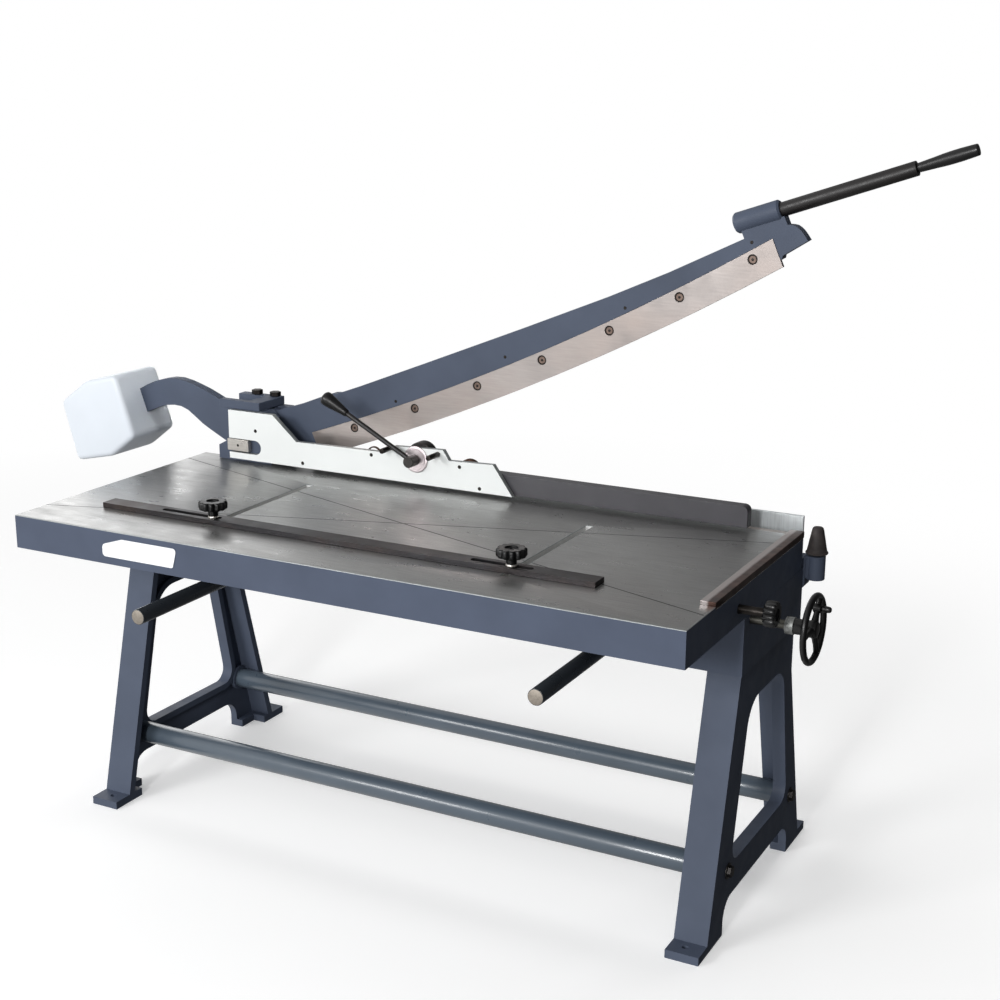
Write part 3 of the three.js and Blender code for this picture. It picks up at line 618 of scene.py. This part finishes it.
def rubber_bumper():
    """The cone the arm's toe comes down on, with a narrow neck and a rolled lip."""
    foot = middle("rubber_bumper")
    foot.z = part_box("rubber_bumper")[0].z
    cone = bmesh.new()
    turn(cone, foot, Z, [
        (0, 4.6), (11.3, 5), (14, 9), (14.2, 16.6), (14.6, 17.8), (15.6, 18.6), (17.2, 18.4),
        (18, 17.2), (18.8, 16.7), (26, 15.2), (36, 13.4), (46, 11.4), (54, 9.8), (57.2, 8.8),
        (58.7, 7.2), (59.3, 4.6), (59.3, 1)], 56)
    stand_in("rubber_bumper", cone, ["rubber"])


def blade_arm():
    """The arm and everything that swings with it."""
    refine("arm_casting", ["paint"], 1.2, segments=3)
    refine("upper_blade", ["blade"], 0.3)
    counterweight()
    for number in range(1, 8):
        blade_bolt(f"blade_bolt_{number}")
    for number, (x, z) in enumerate(ARM_SCREWS, 1):
        socket_screw(f"arm_screw_{number}", on_table(x, 527, z), FORWARD, "blade_arm", 2.8)
    handle()


# ---------------------------------------------------------------- back gauge and handwheel
COLLAR_MARKS = 40
WHEEL_PLANE = 27.7  # millimetres from the hub's inner face to the middle of the rim
WHEEL_SPOKES = 3


def back_gauge():
    """The gauge plate with its rods, sawn off bright in front, and their racks and pinions."""
    refine("gauge_plate", ["plate"], 0.6)
    for side in ("left", "right"):
        bm = bmesh.new()
        faces = full_bar(bm, "gauge_rod_" + side, Y, 13, 1.2, 56)
        faces[0].material_index = 1
        stand_in("gauge_rod_" + side, bm, ["dark_rod", "rod_end"])
        refine("rack_bar_" + side, ["rod"], 0.15)
        refine("pinion_" + side, ["rod"], 0.15)


def graduated_collar():
    """The collar on the cross shaft, with blank graduation marks and every fifth one longer."""
    low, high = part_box("dial_collar")
    start = Vector((low.x, WHEEL.y, WHEEL.z))
    bm = bmesh.new()
    turn(bm, start, X, rounded_bar(0, (high.x - low.x) / MM, 13.3, 0.7), 64)
    for i, angle in enumerate(circle(COLLAR_MARKS)):
        out = Vector((0, math.cos(angle), math.sin(angle)))
        half = X.cross(out) * (0.16 * MM)
        near = start + X * (1.2 * MM) + out * (13.32 * MM)
        far = near + X * ((5.6 if i % 5 == 0 else 3.2) * MM)
        corners = [near - half, near + half, far + half, far - half]
        loft(bm, [corners, [c + out * (0.1 * MM) for c in corners]], 1)
    stand_in("dial_collar", bm, ["collar", "engraved"])


def handwheel():
    """Rim, hub and spokes, one of them towards the crank's boss, and the turning grip."""
    refine("cross_shaft", ["shaft"], 0.6)
    graduated_collar()
    hub = Vector((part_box("handwheel")[0].x, WHEEL.y, WHEEL.z))
    centre = hub + X * (WHEEL_PLANE * MM)
    bm = bmesh.new()
    torus(bm, centre, X, 50, 5, 80, 20)
    turn(bm, hub, X, [
        (0, 11), (0.5, 11.8), (2, 12), (20, 12), (24, 13.4), (31, 13.4), (33.6, 12.2), (34.6, 10),
        (34.7, 5)], 48)
    to_crank = math.atan2(CRANK.z - WHEEL.z, CRANK.y - WHEEL.y)
    for angle in circle(WHEEL_SPOKES):
        out = Vector((0, math.cos(to_crank + angle), math.sin(to_crank + angle)))
        turn(bm, centre, out, [(8, 6.2), (13, 5.6), (22, 4.6), (34, 4.2), (42, 4.6), (47, 5)], 24)
    turn(bm, Vector((hub.x + 21.7 * MM, CRANK.y, CRANK.z)), X,
         [(0, 6), (1, 7), (11, 7), (12, 6.2)], 32)
    stand_in("handwheel", bm, ["black_plastic"])
    grip = bmesh.new()
    turn(grip, Vector((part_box("handwheel_grip")[0].x, CRANK.y, CRANK.z)), X, [
        (0, 3), (12.2, 3), (12.3, 3.8), (13, 4.3), (16, 4.8), (19, 5), (22, 4.9), (24.6, 4.5),
        (26.3, 3.6), (27, 1.8)], 40)
    stand_in("handwheel_grip", grip, ["black_plastic"])


# ---------------------------------------------------------------- knobs
KNOB_LOBES = 12
STEPS_PER_LOBE = 12


def lobed(bm, centre, axis, outer, inner, height, recess):
    """A lobed knob head with rounded rims and a round recess in its outer face."""
    u, v = frame_along(axis)
    angles = circle(KNOB_LOBES * STEPS_PER_LOBE)

    def ring(at, radii):
        return [centre + axis * (at * MM) + (u * math.cos(a) + v * math.sin(a)) * (r * MM)
                for a, r in zip(angles, radii)]

    waves = [math.sqrt(0.5 + 0.5 * math.cos(KNOB_LOBES * a)) for a in angles]
    rim = [inner + (outer - inner) * w for w in waves]
    rings = [ring(share * height, [r * fit for r in rim]) for share, fit in (
        (0, 0.9), (0.08, 0.96), (0.2, 1), (0.8, 1), (0.92, 0.96), (1, 0.9))]
    rings += [ring(height - depth, [radius] * len(angles)) for radius, depth in (
        (recess, 0), (recess - 0.4, 0.4), (recess - 0.6, 2.8), (4, 2.8), (3.6, 6))]
    loft(bm, rings)


def lock_knob():
    """The lobed knob on a plain shaft that locks the back gauge."""
    low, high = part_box("gauge_lock_knob")
    centre = Vector(JOINTS["gauge_lock_turn"]["pos_m"])
    bm = bmesh.new()
    lobed(bm, Vector((high.x - 20 * MM, centre.y, centre.z)), X, 20, 17, 18, 10)
    turn(bm, Vector((low.x, centre.y, centre.z)), X, rounded_bar(0, 58, 7, 0.4), 32, 1)
    stand_in("gauge_lock_knob", bm, ["black_plastic", "black_steel"])


def stop_bar():
    """The slotted bar and the two knobs and T-bolts that hold it."""
    for side in ("left", "right"):
        node = "stop_knob_" + side
        foot = Vector(JOINTS[node + "_turn"]["pos_m"])
        foot.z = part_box(node)[0].z
        bm = bmesh.new()
        turn(bm, foot, Z, [(0, 9), (0.6, 9), (2.2, 8.4), (2.4, 7)], 40, 1)
        turn(bm, foot, Z, [(2.4, 7.4), (3, 8.2), (8, 8.4), (12, 9), (14.6, 9)], 40)
        lobed(bm, foot + Z * (13.7 * MM), Z, 24, 20.5, 14, 11)
        stand_in(node, bm, ["black_plastic", "bright_steel"])
        refine("t_bolt_" + side, ["bright_steel"], 0.5)
    refine("stop_bar", ["bar_steel"], 0.7)


castings()
carrier_plate()
lever_bearing()
pins_and_springs()
clamp_lever()
blade_arm()
rubber_bumper()
back_gauge()
handwheel()
lock_knob()
stop_bar()


# ---------------------------------------------------------------- stage
FLOOR_REACH = 60          # metres from the middle to each side
FLOOR_FADE = (1.0, 3.2)   # metres over which the floor gives way to the backdrop
WHITE = (1, 1, 1, 1)


def add_to_scene(name, data):
    """A new object of its own for a mesh, a lamp or a camera."""
    obj = bpy.data.objects.new(name, data)
    bpy.context.scene.collection.objects.link(obj)
    return obj


def floor():
    """A pale floor that fades into the backdrop. It bounces no light, so shades stay deep."""
    mesh = bpy.data.meshes.new("floor")
    corners = [(x * FLOOR_REACH, y * FLOOR_REACH, 0) for x, y in ((-1, -1), (1, -1), (1, 1), (-1, 1))]
    mesh.from_pydata(corners, [], [(0, 1, 2, 3)])
    s = Shader("floor", 0.8, specular=0.0)
    distance = s.tree.nodes.new("ShaderNodeVectorMath")
    distance.operation = "LENGTH"
    s.link(s.coords, distance.inputs[0])
    away = s.remap(distance.outputs["Value"], 0, 1, FLOOR_FADE)
    s.colour(s.mix(away, (0.85, 0.85, 0.85, 1), (0, 0, 0, 1)))
    s.set("Emission Color", WHITE)
    s.link(s.remap(away, 0.3, BACKDROP, (0, 1)), s.bsdf.inputs["Emission Strength"])
    mesh.materials.append(s.material)
    plane = add_to_scene("floor", mesh)
    plane.visible_diffuse = False
    plane.visible_glossy = False


def room():
    """Light from all round, bright on the pivot's side and dim on the handwheel's. The camera sees
    a plain backdrop in its place."""
    world = bpy.data.worlds.new("studio")
    world.use_nodes = True
    nodes, links = world.node_tree.nodes, world.node_tree.links
    around = nodes["Background"]
    coords = nodes.new("ShaderNodeTexCoord")
    towards = nodes.new("ShaderNodeVectorMath")
    towards.operation = "DOT_PRODUCT"
    towards.inputs[1].default_value = Vector((-0.9, -0.35, 0.03)).normalized()
    ramp = nodes.new("ShaderNodeMapRange")
    ramp.interpolation_type = "SMOOTHSTEP"
    ramp.inputs["From Min"].default_value, ramp.inputs["From Max"].default_value = -0.75, 0.95
    ramp.inputs["To Min"].default_value, ramp.inputs["To Max"].default_value = 0.05, 0.9
    backdrop = nodes.new("ShaderNodeBackground")
    backdrop.inputs["Strength"].default_value = BACKDROP
    path = nodes.new("ShaderNodeLightPath")
    mix = nodes.new("ShaderNodeMixShader")
    links.new(coords.outputs["Generated"], towards.inputs[0])
    links.new(towards.outputs["Value"], ramp.inputs["Value"])
    links.new(ramp.outputs["Result"], around.inputs["Strength"])
    links.new(path.outputs["Is Camera Ray"], mix.inputs["Fac"])
    links.new(around.outputs["Background"], mix.inputs[1])
    links.new(backdrop.outputs["Background"], mix.inputs[2])
    links.new(mix.outputs["Shader"], nodes["World Output"].inputs["Surface"])
    for background in (around, backdrop):
        background.inputs["Color"].default_value = WHITE
    bpy.context.scene.world = world
    bpy.context.scene.view_settings.view_transform = "Standard"


def area_light(name, place, target, size, power, spread=None, glossy=True, diffuse=True):
    """A rectangular lamp: places and sizes in metres, power in watts, spread in degrees."""
    light = bpy.data.lights.new(name, "AREA")
    light.shape = "RECTANGLE"
    light.size, light.size_y = size
    light.energy = power
    if spread:
        light.spread = math.radians(spread)
    obj = add_to_scene(name, light)
    obj.location = place
    obj.visible_glossy = glossy
    obj.visible_diffuse = diffuse
    obj.rotation_euler = (Vector(target) - Vector(place)).to_track_quat("-Z", "Y").to_euler()


def lamps():
    """Two lamps in front, weak ones for the other sides, a narrow one for the counterweight's
    right side, and a card seen only in reflections, for the shine of the table."""
    area_light("key", (-2.2, -4.2, 2.2), (0, 0, 0.6), (1.7, 1.2), 102)
    area_light("front", (0.62, -4.2, 1.9), (0.4, 0, 0.6), (0.5, 1.2), 88)
    area_light("side", (3.4, -1.0, 1.6), (0, 0, 0.6), (1.0, 2.0), 0.5)
    area_light("rear", (0.6, 3.4, 2.6), (0, 0, 0.7), (3.0, 1.2), 40, glossy=False)
    area_light("snoot", (1.4, -0.1, 1.9), (-0.95, 0.2, 0.95), (0.4, 0.4), 0.8, spread=24)
    area_light("card", (-3.56, 2.65, 1.6), (-0.4, 0, 0.6), (1.8, 2.4), 24, diffuse=False)


CAMERA_PLACE = (1931.6, -1936.8, 1318.8)  # millimetres, as on_table counts them
CAMERA_TURN = (27.406, 15.410, -0.355)    # yaw, pitch and roll in degrees
SENSOR_WIDTH, FOCAL_LENGTH = 36, 58.36    # millimetres
CAMERA_SHIFT = (-0.0072, 0.0063)


def camera():
    """The photograph's camera, as solved from the table's edges."""
    yaw, pitch, roll = (math.radians(a) for a in CAMERA_TURN)
    forward = Vector((-math.sin(yaw) * math.cos(pitch), math.cos(yaw) * math.cos(pitch),
                      -math.sin(pitch)))
    level = Vector((math.cos(yaw), math.sin(yaw), 0))
    down = forward.cross(level)
    right = math.cos(roll) * level + math.sin(roll) * down
    up = math.sin(roll) * level - math.cos(roll) * down
    data = bpy.data.cameras.new("camera")
    data.sensor_width = SENSOR_WIDTH
    data.lens = FOCAL_LENGTH
    data.shift_x, data.shift_y = CAMERA_SHIFT
    data.clip_end = 50
    obj = add_to_scene("camera", data)
    place = Matrix((right, up, -forward)).transposed().to_4x4()
    place.translation = on_table(*CAMERA_PLACE)
    obj.matrix_world = place
    bpy.context.scene.camera = obj


floor()
room()
lamps()
camera()
